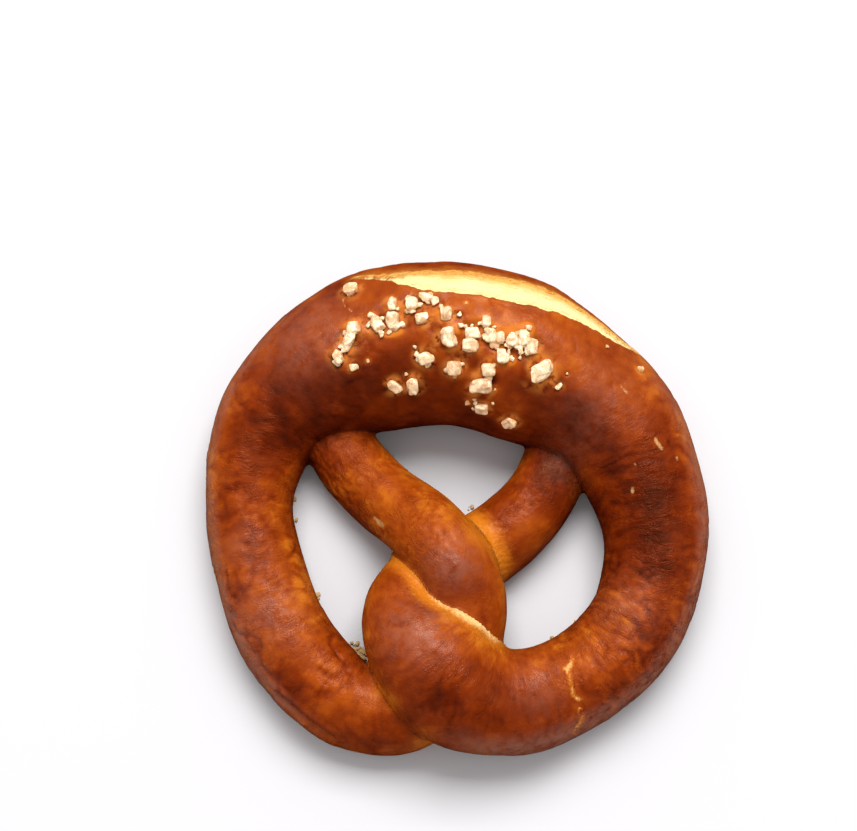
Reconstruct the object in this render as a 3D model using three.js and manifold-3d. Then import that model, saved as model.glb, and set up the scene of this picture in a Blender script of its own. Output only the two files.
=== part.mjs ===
// A baked soft pretzel, lying flat on its sole.
//
// One rope of dough: a thick belly at the back, two loops, and two thin arms
// that cross each other twice and end under the belly. The belly has burst open
// along a slit on its outer side, and coarse salt sticks to its top.
//
// Millimetres, +Z up, the belly towards +Y, the sole on z = 0, and the origin
// under the middle of the outline.

import * as THREE from "three";
import { mergeVertices } from "three/addons/utils/BufferGeometryUtils.js";
import Module from "manifold-3d";

const wasm = await Module();
wasm.setup();

// How finely the rope is divided
const STEP = 4;
const SIDES = 24;

// The section of the rope: domed on top, squarer below, widest under its middle
const WIDEST = 0.42;
const DOME = 2.1;
const SQUARE = 2.6;

// How far the dough has settled on its tray, which leaves the flat sole
const SAG = 1;
const TRAY = 200;

// Soft unevenness of the crust: its depth, and how fast it changes along the rope
const LUMP = 0.35;
const LUMP_RATE = 2.3;

// The middle of the outline, in the numbers that the route is drawn in
const MIDDLE_X = -0.6;
const MIDDLE_Y = -0.7;

// The rope's route, as stations along it.
// Each is x, y, the height of the underside, and the section's width and height.
const LEFT_ARM = [
  [-40.5, 40, -SAG, 12, 11],
  [-37, 28.5, -SAG, 16, 15],
  [-29, 14.5, -SAG, 18, 17],
  [-18.5, 2, 1, 18.5, 17.5],
  [-8, -8, 7.5, 19.5, 18],
  [-1, -18.5, 9, 21, 18],
  [2, -29, 4, 21.5, 18.5],
  [-3.5, -43.5, -SAG, 22, 19],
];
const LEFT_LOOP = [
  [-14, -51.5, -SAG, 22.5, 19.5],
  [-26, -50.5, -SAG, 22, 20],
  [-36, -43.5, -SAG, 23.5, 20.5],
  [-45, -31, -SAG, 23.5, 21],
  [-50.5, -16, -SAG, 23, 21],
  [-53, -0.5, -SAG, 22.5, 21.5],
  [-51.5, 13.5, -SAG, 25.5, 23],
  [-46, 25, -SAG, 29, 27],
];
const BELLY = [
  [-34.5, 34.5, -SAG, 36.5, 32],
  [-19.5, 40, -SAG, 42, 35],
  [-2, 41.5, -SAG, 42, 36],
  [15, 37.5, -SAG, 42, 35],
  [30.5, 29.5, -SAG, 36.5, 32],
];
const RIGHT_LOOP = [
  [42.5, 18, -SAG, 32.5, 29],
  [48.5, 3.5, -SAG, 29, 26],
  [50, -13, -SAG, 26, 24],
  [46.5, -27, -SAG, 25, 22.5],
  [37.5, -39.5, -SAG, 24.5, 22],
  [25.5, -47, -SAG, 25, 22.5],
  [12, -50.5, 2, 27, 22.5],
];
const TWIST = [
  [-1, -47.5, 7.5, 28.5, 22.5],
  [-9, -40, 8.5, 26, 22],
  [-13, -31, 7, 22.5, 20],
  [-10.5, -21.5, 1.5, 20.5, 17],
];
const RIGHT_ARM = [
  [-2, -15, -SAG, 20.5, 16],
  [8, -10, -SAG, 20, 16],
  [17.5, -2, -SAG, 18.5, 16.5],
  [23.5, 8, -SAG, 17.5, 16.5],
  [27.5, 19.5, -SAG, 16, 15],
  [30.5, 30, -SAG, 15, 13],
  [34.5, 38.5, -SAG, 12, 11],
];
const ROUTE = [...LEFT_ARM, ...LEFT_LOOP, ...BELLY, ...RIGHT_LOOP, ...TWIST, ...RIGHT_ARM];
const LAST = ROUTE.length - 1;
const BELLY_START = LEFT_ARM.length + LEFT_LOOP.length;

// Where the rope is split, so that no stretch of it crosses itself
const LEFT_SPLIT = LEFT_ARM.length + 1;
const RIGHT_SPLIT = ROUTE.length - RIGHT_ARM.length - 1;

// The slit: how many stations past the belly's first, how far round the section
// in degrees, and its width
const SLIT = [
  [0.6, 148, 0.8],
  [1.1, 135, 3.5],
  [1.9, 122, 6.5],
  [2.7, 125, 8.5],
  [3.3, 130, 8],
  [3.9, 138, 5.5],
  [4.4, 152, 0.8],
];
const SLIT_DEPTH = 2;
const SLIT_CORNER = 0.5;
const SLIT_STEPS = 20;
const SLIT_SIDES = 8;

// Grains of salt: x, y and the grain's length
const SALT = [
  [-27, 51, 4], [-26, 40, 3.6], [-27.5, 36.5, 4.4], [-30, 33, 3.5], [-26, 30.5, 2.4],
  [-16.5, 46, 3.2], [-16.5, 41.5, 4.4], [-20, 40.5, 3.8], [-14, 40.5, 2], [-21.5, 43, 2],
  [-11.5, 46, 3.9], [-8, 47.5, 3.2], [-9, 42, 3.3], [-3, 43, 3.2], [-2.5, 37, 4.8],
  [-8, 32.5, 3.8], [-1, 30, 3.8], [-16, 26, 3.6], [-11.5, 26.5, 4.6], [0.5, 40, 1.8],
  [3.5, 38, 3.4], [3, 35, 3.9], [7, 41, 2.9], [8, 37.5, 3.3], [11, 37.5, 3.4],
  [11, 32.5, 3.6], [14, 36.5, 3.5], [16.5, 37, 3.7], [18.5, 35, 3.9], [20.5, 29, 6.5],
  [7.5, 29, 3.6], [5.5, 26, 5.8], [6, 21.5, 3.2], [13, 18.5, 3.6], [25, 25.5, 2.2],
  [46, 31.5, 2.2],
];

// The shape of a grain, as parts of its length, and how high its middle lies
const SALT_WIDTH = 0.8;
const SALT_HEIGHT = 0.65;
const SALT_JITTER = 0.15;
const SALT_RISE = 0.1;
const SALT_SEED = 7;

const feet = new THREE.CatmullRomCurve3(
  ROUTE.map(([x, y, under]) => new THREE.Vector3(x - MIDDLE_X, y - MIDDLE_Y, under)),
);
const sizes = new THREE.CatmullRomCurve3(
  ROUTE.map(([, , , width, height]) => new THREE.Vector3(width, height, 0)),
);
const slitLine = new THREE.CatmullRomCurve3(
  SLIT.map(([stations, degrees, width]) => new THREE.Vector3(stations, degrees, width)),
);

// Numbers between 0 and 1 that are the same in each run
function seeded(seed) {
  let state = seed;
  return () => {
    state = (state * 1664525 + 1013904223) % 4294967296;
    return state / 4294967296;
  };
}

// x to the power n, with the sign of x kept
function signedPower(x, n) {
  return Math.sign(x) * Math.abs(x) ** n;
}

// A point of the rope's surface, at a station number and an angle round the
// section: 0 is to the right seen along the route, and a quarter turn is up
function surface(station, angle) {
  const t = THREE.MathUtils.clamp(station / LAST, 0, 1);
  const size = sizes.getPoint(t);
  const along = feet.getTangent(t);
  const right = new THREE.Vector3(along.y, -along.x, 0).normalize();
  const power = 2 / (Math.sin(angle) > 0 ? DOME : SQUARE);
  const across = signedPower(Math.cos(angle), power);
  const up = signedPower(Math.sin(angle), power);
  const reach = up > 0 ? 1 - WIDEST : WIDEST;
  const lump = LUMP * Math.sin(LUMP_RATE * station + 2 * angle) * Math.cos(station + angle);
  const point = feet.getPoint(t).addScaledVector(right, across * (size.x / 2 + lump));
  point.z += size.y * (WIDEST + reach * up) + lump * up;
  return point;
}

// The station numbers of the rings from one station to another, about STEP apart
function ringStations(from, to) {
  const stations = [from];
  for (let start = from; start < to; start += 1) {
    const length = feet.getPoint(start / LAST).distanceTo(feet.getPoint((start + 1) / LAST));
    const count = Math.max(1, Math.round(length / STEP));
    for (let i = 1; i <= count; i += 1) {
      stations.push(start + i / count);
    }
  }
  return stations;
}

// A closed tube of rings, where place gives the point of a ring at an angle
function ringedTube(ringCount, sides, place) {
  const tube = new THREE.CylinderGeometry(1, 1, 1, sides, ringCount - 1);
  const position = tube.attributes.position;
  for (let i = 0; i < position.count; i += 1) {
    const ring = Math.round((position.getY(i) + 0.5) * (ringCount - 1));
    const angle = Math.atan2(position.getZ(i), position.getX(i));
    const point = place(ring, angle);
    const onAxis = Math.hypot(position.getX(i), position.getZ(i)) < 0.5;
    if (onAxis) {
      point.lerp(place(ring, angle + Math.PI), 0.5);
    }
    position.setXYZ(i, point.x, point.y, point.z);
  }
  return tube;
}

// One stretch of the rope, closed at both ends
function ropeStretch(from, to) {
  const stations = ringStations(from, to);
  return ringedTube(stations.length, SIDES, (ring, angle) => surface(stations[ring], angle));
}

// What the slit takes out of the belly: a flat tube laid along the surface
function slitCutter() {
  const small = 0.01;
  return ringedTube(SLIT_STEPS + 1, SLIT_SIDES, (ring, angle) => {
    const here = slitLine.getPoint(ring / SLIT_STEPS);
    const station = BELLY_START + here.x;
    const round = THREE.MathUtils.degToRad(here.y);
    const point = surface(station, round);
    const along = surface(station + small, round).sub(point).normalize();
    const outward = surface(station, round - small).sub(point).cross(along).normalize();
    const across = along.clone().cross(outward);
    const depth = Math.min(SLIT_DEPTH, here.z / 2);
    return point
      .addScaledVector(across, (signedPower(Math.cos(angle), SLIT_CORNER) * here.z) / 2)
      .addScaledVector(outward, signedPower(Math.sin(angle), SLIT_CORNER) * depth);
  });
}

// A blocky grain of the given length, lying flat with its middle at the origin
function grain(length, random) {
  const rock = new THREE.DodecahedronGeometry(length / 2);
  rock.deleteAttribute("normal");
  rock.deleteAttribute("uv");
  const blocky = mergeVertices(rock);
  const position = blocky.attributes.position;
  for (let i = 0; i < position.count; i += 1) {
    const swell = 1 + SALT_JITTER * (2 * random() - 1);
    position.setX(i, position.getX(i) * swell);
    position.setY(i, position.getY(i) * swell * SALT_WIDTH);
    position.setZ(i, position.getZ(i) * swell * SALT_HEIGHT);
  }
  return blocky.rotateZ(Math.PI * random());
}

// A three.js geometry as a manifold-3d solid
function solid(geometry) {
  const bare = geometry.clone();
  bare.deleteAttribute("normal");
  bare.deleteAttribute("uv");
  const merged = mergeVertices(bare);
  return new wasm.Manifold(new wasm.Mesh({
    numProp: 3,
    vertProperties: new Float32Array(merged.attributes.position.array),
    triVerts: new Uint32Array(merged.index.array),
  }));
}

// A manifold-3d solid as a three.js geometry
function geometryOf(body) {
  const mesh = body.getMesh();
  const geometry = new THREE.BufferGeometry();
  geometry.setAttribute("position", new THREE.BufferAttribute(mesh.vertProperties, 3));
  geometry.setIndex(new THREE.BufferAttribute(mesh.triVerts, 1));
  geometry.computeVertexNormals();
  return geometry;
}

// The rope, flat where it lies on the tray, with the slit cut in
function dough() {
  const tray = new THREE.BoxGeometry(TRAY, TRAY, TRAY).translate(0, 0, -TRAY / 2);
  return solid(ropeStretch(0, LEFT_SPLIT))
    .add(solid(ropeStretch(LEFT_SPLIT, RIGHT_SPLIT)))
    .add(solid(ropeStretch(RIGHT_SPLIT, LAST)))
    .subtract(solid(tray))
    .subtract(solid(slitCutter()));
}

// The body with the grains of salt stuck to its top, each lying flat on the crust
function salted(body) {
  const random = seeded(SALT_SEED);
  const bare = new THREE.Mesh(geometryOf(body));
  const ray = new THREE.Raycaster();
  const up = new THREE.Vector3(0, 0, 1);
  const down = new THREE.Vector3(0, 0, -1);
  let result = body;
  for (const [x, y, length] of SALT) {
    ray.set(new THREE.Vector3(x - MIDDLE_X, y - MIDDLE_Y, TRAY), down);
    const hit = ray.intersectObject(bare)[0];
    const outward = hit.face.normal;
    const rock = grain(length, random);
    rock.applyQuaternion(new THREE.Quaternion().setFromUnitVectors(up, outward));
    const middle = hit.point.addScaledVector(outward, length * SALT_RISE);
    rock.translate(middle.x, middle.y, middle.z);
    result = result.add(solid(rock));
  }
  return result;
}

// The largest of a body's closed skins, which fills any hollow that is sealed in
function outerSkin(body) {
  const skins = body.decompose();
  return skins.reduce((best, skin) => (skin.volume() > best.volume() ? skin : best));
}

const crust = new THREE.MeshStandardMaterial({ color: 0x8e3d17, roughness: 0.35, metalness: 0 });
const pretzel = new THREE.Mesh(geometryOf(outerSkin(salted(dough()))), crust);
pretzel.name = "pretzel";

const model = new THREE.Group();
model.add(pretzel);

export default model;
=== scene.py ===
# A baked soft pretzel: glossy brown crust, a pale burst along its belly, coarse salt and a few crumbs.
#
# Lengths are millimetres until a mesh is made, and metres in Blender. The crust follows the packed
# solid's rope of dough, a little fuller at the twist, with the relief that a fine mesh can hold.
import math
from functools import cached_property

import bmesh
import bpy
import numpy as np
from mathutils import Matrix, Vector, noise
from mathutils.bvhtree import BVHTree


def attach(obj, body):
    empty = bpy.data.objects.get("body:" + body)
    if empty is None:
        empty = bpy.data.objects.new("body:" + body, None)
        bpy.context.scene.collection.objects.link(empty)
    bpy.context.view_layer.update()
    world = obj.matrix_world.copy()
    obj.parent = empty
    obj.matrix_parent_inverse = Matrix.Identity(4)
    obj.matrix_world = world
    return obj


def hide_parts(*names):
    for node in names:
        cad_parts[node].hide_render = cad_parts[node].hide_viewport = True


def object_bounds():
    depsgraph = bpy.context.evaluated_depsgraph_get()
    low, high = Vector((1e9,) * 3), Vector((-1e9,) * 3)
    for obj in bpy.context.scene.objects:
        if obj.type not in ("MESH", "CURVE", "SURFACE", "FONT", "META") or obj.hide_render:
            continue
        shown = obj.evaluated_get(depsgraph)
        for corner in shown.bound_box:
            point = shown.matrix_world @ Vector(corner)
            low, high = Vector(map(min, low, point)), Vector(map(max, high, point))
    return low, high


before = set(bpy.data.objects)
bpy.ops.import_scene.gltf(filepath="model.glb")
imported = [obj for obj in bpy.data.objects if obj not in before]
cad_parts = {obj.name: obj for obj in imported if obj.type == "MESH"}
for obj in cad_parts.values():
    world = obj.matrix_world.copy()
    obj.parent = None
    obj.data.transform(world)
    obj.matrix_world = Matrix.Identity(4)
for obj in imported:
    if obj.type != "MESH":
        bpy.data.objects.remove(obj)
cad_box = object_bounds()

MM = 0.001

# The section of the rope: domed on top, squarer below, widest under its middle
WIDEST = 0.42
DOME = 2.1
SQUARE = 2.6

# How far the dough has settled on its tray
SAG = 1

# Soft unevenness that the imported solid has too: its depth, and how fast it changes along the rope
LUMP = 0.35
LUMP_RATE = 2.3

# The middle of the outline, in the numbers that the route and the salt are drawn in
MIDDLE = np.array([-0.6, -0.7, 0])

# The rope's route, as stations along it.
# Each is x, y, the height of the underside, and the section's width and height.
LEFT_ARM = [
    [-40.5, 40, -SAG, 12, 11], [-37, 28.5, -SAG, 16, 15],
    [-29, 14.5, -SAG, 18, 17], [-18.5, 2, 1, 18.5, 17.5],
    [-8, -8, 7.5, 19.5, 18], [-0.2, -18.1, 9, 19.3, 18],
    [2, -29, 4, 21.5, 18.5], [-3.5, -43.5, -SAG, 22, 19],
]
LEFT_LOOP = [
    [-14, -51.5, -SAG, 22.5, 19.5], [-26, -50.5, -SAG, 22, 20],
    [-36, -43.5, -SAG, 23.5, 20.5], [-45, -31, -SAG, 23.5, 21],
    [-50.5, -16, -SAG, 23, 21], [-53, -0.5, -SAG, 22.5, 21.5],
    [-51.5, 13.5, -SAG, 25.5, 23], [-46, 25, -SAG, 29, 27],
]
BELLY = [
    [-34.5, 34.5, -SAG, 36.5, 32], [-19.5, 40, -SAG, 42, 35],
    [-2, 41.5, -SAG, 42, 36], [15, 37.5, -SAG, 42, 35],
    [30.5, 29.5, -SAG, 36.5, 32],
]
RIGHT_LOOP = [
    [42.5, 18, -SAG, 32.5, 29], [48.5, 3.5, -SAG, 29, 26],
    [50, -13, -SAG, 26, 24], [46.5, -27, -SAG, 25, 22.5],
    [37.5, -39.5, -SAG, 24.5, 22], [25.5, -47, -SAG, 25, 22.5],
    [12, -50.5, 2, 27, 22.5],
]
TWIST = [
    [-0.6, -46.7, 7.5, 30.2, 22.5], [-8.2, -39.3, 8.5, 28, 22],
    [-12, -30.9, 7, 24.5, 20], [-10.1, -21.8, 2.5, 21.3, 17.5],
]
RIGHT_ARM = [
    [-2, -15, -SAG, 20.5, 16], [8, -10, -SAG, 20, 16],
    [17.5, -2, -SAG, 18.5, 16.5], [23.5, 8, -SAG, 17.5, 16.5],
    [27.5, 19.5, -SAG, 16, 15], [30.5, 30, -SAG, 15, 13],
    [34.5, 38.5, -SAG, 12, 11],
]
ROUTE = np.array(LEFT_ARM + LEFT_LOOP + BELLY + RIGHT_LOOP + TWIST + RIGHT_ARM, float)
FEET = ROUTE[:, :3] - MIDDLE
SIZES = ROUTE[:, 3:]
LAST = len(ROUTE) - 1
BELLY_START = len(LEFT_ARM) + len(LEFT_LOOP)

# The slit: how many stations past the belly's first, how far round the section
# in degrees from the right seen along the rope, and its width
SLIT = np.array([
    [0.85, 140, 0.5], [1.25, 129, 1.9], [1.9, 121, 7.4], [2.7, 124.5, 8.2],
    [3.3, 130, 7], [3.9, 138, 4.6], [4.4, 152, 0.8],
])
SLIT_DEPTH = 1.3
SLIT_SAMPLES = 240

# Grains of salt: x, y, length, width, and how far the length is turned from +X, in degrees
SALT = [
    [-27, 51, 4.2, 3.8, 90], [-26, 40, 3.7, 3.5, 0], [-27.5, 36.5, 4.9, 2.9, 65],
    [-30, 33, 4.2, 2.6, 110], [-26, 30.5, 2.5, 2.1, 20], [-16.5, 46, 3.7, 2.4, 90],
    [-16.5, 41.5, 4.7, 3.7, 90], [-20, 40.5, 4.3, 3.1, 125], [-14, 40.5, 2, 1.8, 0],
    [-21.5, 43, 2.3, 1.6, 150], [-11.5, 46, 4.3, 3.4, 90], [-8, 47.5, 3.7, 2.5, 0],
    [-9, 42, 3.5, 3.1, 10], [-3, 43, 3.6, 3, 90], [-2.5, 37, 5.2, 3.9, 105],
    [-8, 32.5, 4.1, 3.3, 20], [-1, 30, 3.9, 3.6, 0], [-16, 26, 4.2, 2.6, 135],
    [-11.5, 26.5, 4.9, 3, 95], [0.5, 40, 1.8, 1.4, 0], [3.5, 38, 3.8, 3.1, 10],
    [3, 35, 4.1, 3.4, 0], [7, 41, 3.3, 2.3, 90], [8, 37.5, 3.7, 2.6, 80],
    [10.2, 37.3, 3.7, 2.8, 90], [11, 32.5, 3.8, 3.1, 90], [13.6, 36.5, 3.8, 3.2, 60],
    [16.3, 37, 4.2, 2.8, 90], [18.3, 35.2, 4.4, 3.2, 95], [20.5, 29, 6.8, 4.6, 28],
    [7.5, 29.4, 3.6, 3.3, 0], [5.5, 26, 6, 3.7, 3], [6, 21.5, 3.5, 2.9, 0],
    [13, 18.5, 3.7, 3.2, 45], [25, 25.5, 2.3, 1.3, 40], [46, 31.5, 2.3, 1.6, 20],
]

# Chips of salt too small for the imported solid: x, y and length
CHIPS = [
    [-5.6, 46.3, 2.6], [-10.3, 33.1, 1.8], [0.4, 42.8, 1.5], [2, 46, 1], [13, 32, 1.9],
    [17.4, 39.8, 2], [2.3, 22.9, 1.7], [27.1, 28.5, 0.8], [37.5, 36.6, 1.3], [-19.2, 38.1, 2],
    [9.5, 35.4, 1.6], [15.4, 34.2, 1.7], [-12.9, 43.8, 1.5], [-17.2, 38.6, 1.6], [-21.9, 41.2, 1.4],
    [14.9, 38.3, 1.6], [12, 35.3, 1.5], [17, 33.3, 1.4], [5.1, 40.6, 1.1], [4.4, 22.6, 1.4],
    [-9.5, 45.6, 1.7], [-7.5, 46.1, 1.4], [-4.3, 44.9, 1.5], [-11.3, 44, 2.1], [-15, 44.7, 1.2],
    [-18.8, 42.4, 1.3], [-22.5, 40.5, 1.3], [-15.5, 39.7, 2.3], [-28.3, 38.9, 1.6], [-29.2, 35.5, 1.7],
    [-28.5, 34.3, 1.4], [-30.2, 31.4, 2.2], [-10.8, 34.9, 1.2], [-10, 31.9, 1.5], [-7.5, 30.7, 1.8],
    [-13, 28.8, 1.2], [-22.5, 31.7, 1.2], [6.4, 37.2, 1.8], [6.9, 39, 1.5], [8.9, 39.8, 1.2],
    [8.4, 35.2, 1.9], [9.6, 34.7, 1.5], [12.9, 35, 1.8], [15.3, 36.1, 2], [16.1, 35.4, 2],
    [14.6, 34.6, 1.6], [16.9, 34.2, 1.8], [15.6, 33.4, 1.5], [15.4, 32.1, 1.2], [19.3, 35.1, 1.3],
    [0.9, 30.8, 1.4], [-3, 29.6, 1.5], [-0.8, 28.4, 1.6], [7.6, 27.6, 2.2], [8.9, 30.4, 1.2],
    [9.2, 24.9, 0.9], [8.7, 22.2, 1.1], [4.2, 23.3, 1.2], [3.8, 21.7, 1.2], [1.9, 39.6, 1.3],
    [3.4, 39.9, 1.2], [5.7, 40.7, 1.2], [12.6, 33.5, 1.5], [13.1, 32.1, 1.3],
]
CHIP_WIDTH = 0.8

# A grain's height as a part of its length and width, and its middle's height as a part of that
SALT_HEIGHT = 0.72
SALT_RISE = 0.16

# How finely the rope is divided, and the squares of the meshes of the crust and of the salt
RING_STEP = 0.8
SIDES = 128
VOXEL = 0.55
SALT_VOXEL = 0.16

# How far smoothing draws a point to its neighbours' middle in one round
SMOOTHING = 0.3

# Stretches of the rope, as stations: the two that cross each other, and the arms' hidden ends
LEFT_HALF = (0, 13)
MIDDLE_PART = (13, 24)
RIGHT_HALF = (24, LAST)
LEFT_TIP = (0, 3)
RIGHT_TIP = (LAST - 3.5, LAST)

# Stretches with soft ends, as stations: where each begins, is whole, is still whole and ends
BELLY_STRETCH = (15, 16.5, 20, 21.5)
LEEWARD_STRETCH = (24.5, 25.5, 30.5, 31.5)
LOOPS_STRETCH = (9, 10.5, 27, 28)

# How far off another strand and the slit are looked for, and what counts as off a line
STRAND_REACH = 12
SLIT_REACH = 12
OFF_LINE = -10


def signed_power(x, n):
    """x to the power n, with the sign of x kept."""
    return np.sign(x) * np.abs(x) ** n


def ease(low, high, x):
    """0 below low, 1 above high, and a smooth rise between."""
    t = np.clip((x - low) / (high - low), 0, 1)
    return t * t * (3 - 2 * t)


def bell(x, width):
    """1 where x is 0, falling softly to about a third at a width and to 0 beyond it."""
    return np.exp(-((x / width) ** 2))


def folded(values):
    """Noise folded at 0 and cut off: level swellings with sharp valleys between them."""
    return np.minimum(np.abs(values), 0.3) - 0.2


def on_stretch(stretch, station):
    """1 on a stretch of the rope and 0 off it, with soft ends."""
    begins, whole, still_whole, ends = stretch
    return ease(begins, whole, station) * ease(ends, still_whole, station)


def curve_points(controls, t):
    """Points of a Catmull-Rom curve through the controls, at parts t of the whole."""
    count = len(controls)
    place = np.clip(t, 0, 1) * (count - 1)
    first = np.minimum(place.astype(int), count - 2)
    weight = (place - first)[:, None]
    before = 2 * controls[0] - controls[1]
    after = 2 * controls[-1] - controls[-2]
    padded = np.vstack([before, controls, after])
    p0, p1, p2, p3 = (padded[first + k] for k in range(4))

    def gap(a, b):
        return np.sum((b - a) ** 2, axis=1, keepdims=True) ** 0.25

    middle = np.maximum(gap(p1, p2), 1e-4)
    low = np.where(gap(p0, p1) < 1e-4, middle, gap(p0, p1))
    high = np.where(gap(p2, p3) < 1e-4, middle, gap(p2, p3))
    start = ((p1 - p0) / low - (p2 - p0) / (low + middle) + (p2 - p1) / middle) * middle
    end = ((p2 - p1) / middle - (p3 - p1) / (middle + high) + (p3 - p2) / high) * middle
    return (
        p1
        + start * weight
        + (3 * (p2 - p1) - 2 * start - end) * weight**2
        + (2 * (p1 - p2) + start + end) * weight**3
    )


def rope_surface(station, angle):
    """Points of the plain rope at stations and angles: 0 is right, seen along it, and a quarter turn up."""
    t = np.clip(station / LAST, 0, 1)
    foot = curve_points(FEET, t)
    width, height = curve_points(SIZES, t).T
    ahead = curve_points(FEET, t + 1e-4) - curve_points(FEET, t - 1e-4)
    right = np.stack([ahead[:, 1], -ahead[:, 0], np.zeros(len(t))], axis=1)
    right /= np.linalg.norm(right, axis=1, keepdims=True)
    power = np.where(np.sin(angle) > 0, 2 / DOME, 2 / SQUARE)
    across = signed_power(np.cos(angle), power)
    up = signed_power(np.sin(angle), power)
    reach = np.where(up > 0, 1 - WIDEST, WIDEST)
    lump = LUMP * np.sin(LUMP_RATE * station + 2 * angle) * np.cos(station + angle)
    points = foot + right * (across * (width / 2 + lump))[:, None]
    points[:, 2] += height * (WIDEST + reach * up) + lump * up
    return points


def ring_stations():
    """The station numbers of the rope's rings, about RING_STEP apart."""
    stations = [0.0]
    for start in range(LAST):
        count = round(np.linalg.norm(FEET[start + 1] - FEET[start]) / RING_STEP)
        stations.extend(start + (k + 1) / count for k in range(count))
    return np.array(stations)


class Rope:
    """The plain rope as rings of points. It says where on the rope a point near it is."""

    def __init__(self):
        self.stations = ring_stations()
        angles = np.arange(SIDES) * 2 * math.pi / SIDES - math.pi / 2
        rings = len(self.stations)
        station = np.repeat(self.stations, SIDES)
        angle = np.tile(angles, rings)
        self.points = rope_surface(station, angle)
        grid = np.arange(rings * SIDES).reshape(rings, SIDES)
        here, there = grid[:-1], grid[1:]
        self.quads = np.stack(
            [here, np.roll(here, -1, axis=1), np.roll(there, -1, axis=1), there], axis=2
        ).reshape(-1, 4)
        self.tree = self.stretch_tree(0, LAST)
        middles = self.points.reshape(rings, SIDES, 3).mean(axis=1)
        steps = np.linalg.norm(np.diff(middles, axis=0), axis=1)
        self.length = np.concatenate([[0], np.cumsum(steps)])

    def stretch_tree(self, low, high):
        """A search tree over the faces between two stations."""
        ring = np.arange(len(self.quads)) // SIDES
        keep = (self.stations[ring] >= low) & (self.stations[ring] < high)
        return BVHTree.FromPolygons(self.points.tolist(), self.quads[keep].tolist())

    def mesh(self):
        """The rope as a closed Blender mesh."""
        start = list(range(SIDES))[::-1]
        end = [len(self.points) - SIDES + k for k in range(SIDES)]
        mesh = bpy.data.meshes.new("rope")
        mesh.from_pydata((self.points * MM).tolist(), [], self.quads.tolist() + [start, end])
        return mesh

    def locate(self, points):
        """The station, the angle from the sole's middle and the nearest surface point of each point."""
        found = [self.tree.find_nearest(Vector(p)) for p in points]
        nearest = np.array([f[0] for f in found])
        quad = self.quads[[f[2] for f in found]]
        ring = quad[:, 0] // SIDES
        side = quad[:, 0] % SIDES
        corner, beside, ahead = (self.points[quad[:, k]] for k in (0, 1, 3))

        def part(end):
            step = end - corner
            share = np.sum((nearest - corner) * step, axis=1) / np.sum(step**2, axis=1)
            return np.clip(share, 0, 1)

        gap = self.stations[np.minimum(ring + 1, len(self.stations) - 1)] - self.stations[ring]
        station = self.stations[ring] + part(ahead) * gap
        turn = (side + part(beside)) * 2 * math.pi / SIDES
        return station, turn, nearest


def new_object(name, data):
    """An object with its data, put in the scene."""
    made = bpy.data.objects.new(name, data)
    bpy.context.collection.objects.link(made)
    return made


def remeshed(mesh, size):
    """One closed skin round a mesh whose parts run through each other, in squares of a size."""
    source = new_object("source", mesh)
    modifier = source.modifiers.new("skin", "REMESH")
    modifier.mode = "VOXEL"
    modifier.voxel_size = size * MM
    shown = source.evaluated_get(bpy.context.evaluated_depsgraph_get())
    skin = bpy.data.meshes.new_from_object(shown)
    bpy.data.objects.remove(source)
    return skin


def read(items, name, width, kind=float):
    """What a mesh's items say under a name, as rows of a width."""
    flat = np.empty(len(items) * width, kind)
    items.foreach_get(name, flat)
    return flat.reshape(-1, width)


def read_points(mesh):
    """A mesh's points in millimetres."""
    return read(mesh.vertices, "co", 3) / MM


def write_points(mesh, points):
    """Sets a mesh's points, given in millimetres."""
    mesh.vertices.foreach_set("co", (points * MM).astype(np.float32).ravel())
    mesh.update()


def read_edges(mesh):
    """A mesh's edges, as pairs of point numbers."""
    return read(mesh.edges, "vertices", 2, np.int32)


def store(mesh, name, values):
    """Stores a value for each of a mesh's points, which a material reads by its name."""
    attribute = mesh.attributes.new(name, "FLOAT", "POINT")
    attribute.data.foreach_set("value", values.astype(np.float32))


def relaxed(values, edges, weight, rounds):
    """Values at points, drawn to their neighbours' middle by a weight, in some rounds."""
    count = len(values)
    ends = np.concatenate([edges[:, 0], edges[:, 1]])
    others = np.concatenate([edges[:, 1], edges[:, 0]])
    degree = np.bincount(ends, minlength=count)[:, None]
    for _ in range(rounds):
        sums = np.stack(
            [np.bincount(ends, values[others, k], count) for k in range(values.shape[1])], axis=1
        )
        values = values + (sums / degree - values) * np.reshape(weight, (-1, 1))
    return values


def noise_at(points, size, seed):
    """Soft noise between about -1 and 1, whose lumps are about size across."""
    shift = np.array([17.3, 5.1, 29.7]) * seed
    return np.array([noise.noise(Vector(p)) for p in points / size + shift])


def distance_to(tree, points, reach):
    """How far each point is from the faces in a tree, at most reach."""
    found = [tree.find_nearest(Vector(p), reach)[3] for p in points]
    return np.array([reach if d is None else d for d in found])


def other_strand(rope, points, station):
    """How far each point is from the other strand that the rope meets there."""
    left, middle, right = (rope.stretch_tree(*part) for part in (LEFT_HALF, MIDDLE_PART, RIGHT_HALF))
    tips = [rope.stretch_tree(*LEFT_TIP), rope.stretch_tree(*RIGHT_TIP)]
    is_left = station < LEFT_HALF[1]
    is_right = station >= RIGHT_HALF[0]
    is_middle = ~is_left & ~is_right
    is_tip = (station < LEFT_TIP[1] + 1) | (station > RIGHT_TIP[0] - 1)
    pairs = [(is_left, right), (is_right, left), (is_tip, middle)]
    pairs += [(is_middle, tip) for tip in tips]
    distance = np.full(len(points), float(STRAND_REACH))
    for mask, tree in pairs:
        found = distance_to(tree, points[mask], STRAND_REACH)
        distance[mask] = np.minimum(distance[mask], found)
    return distance


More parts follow.
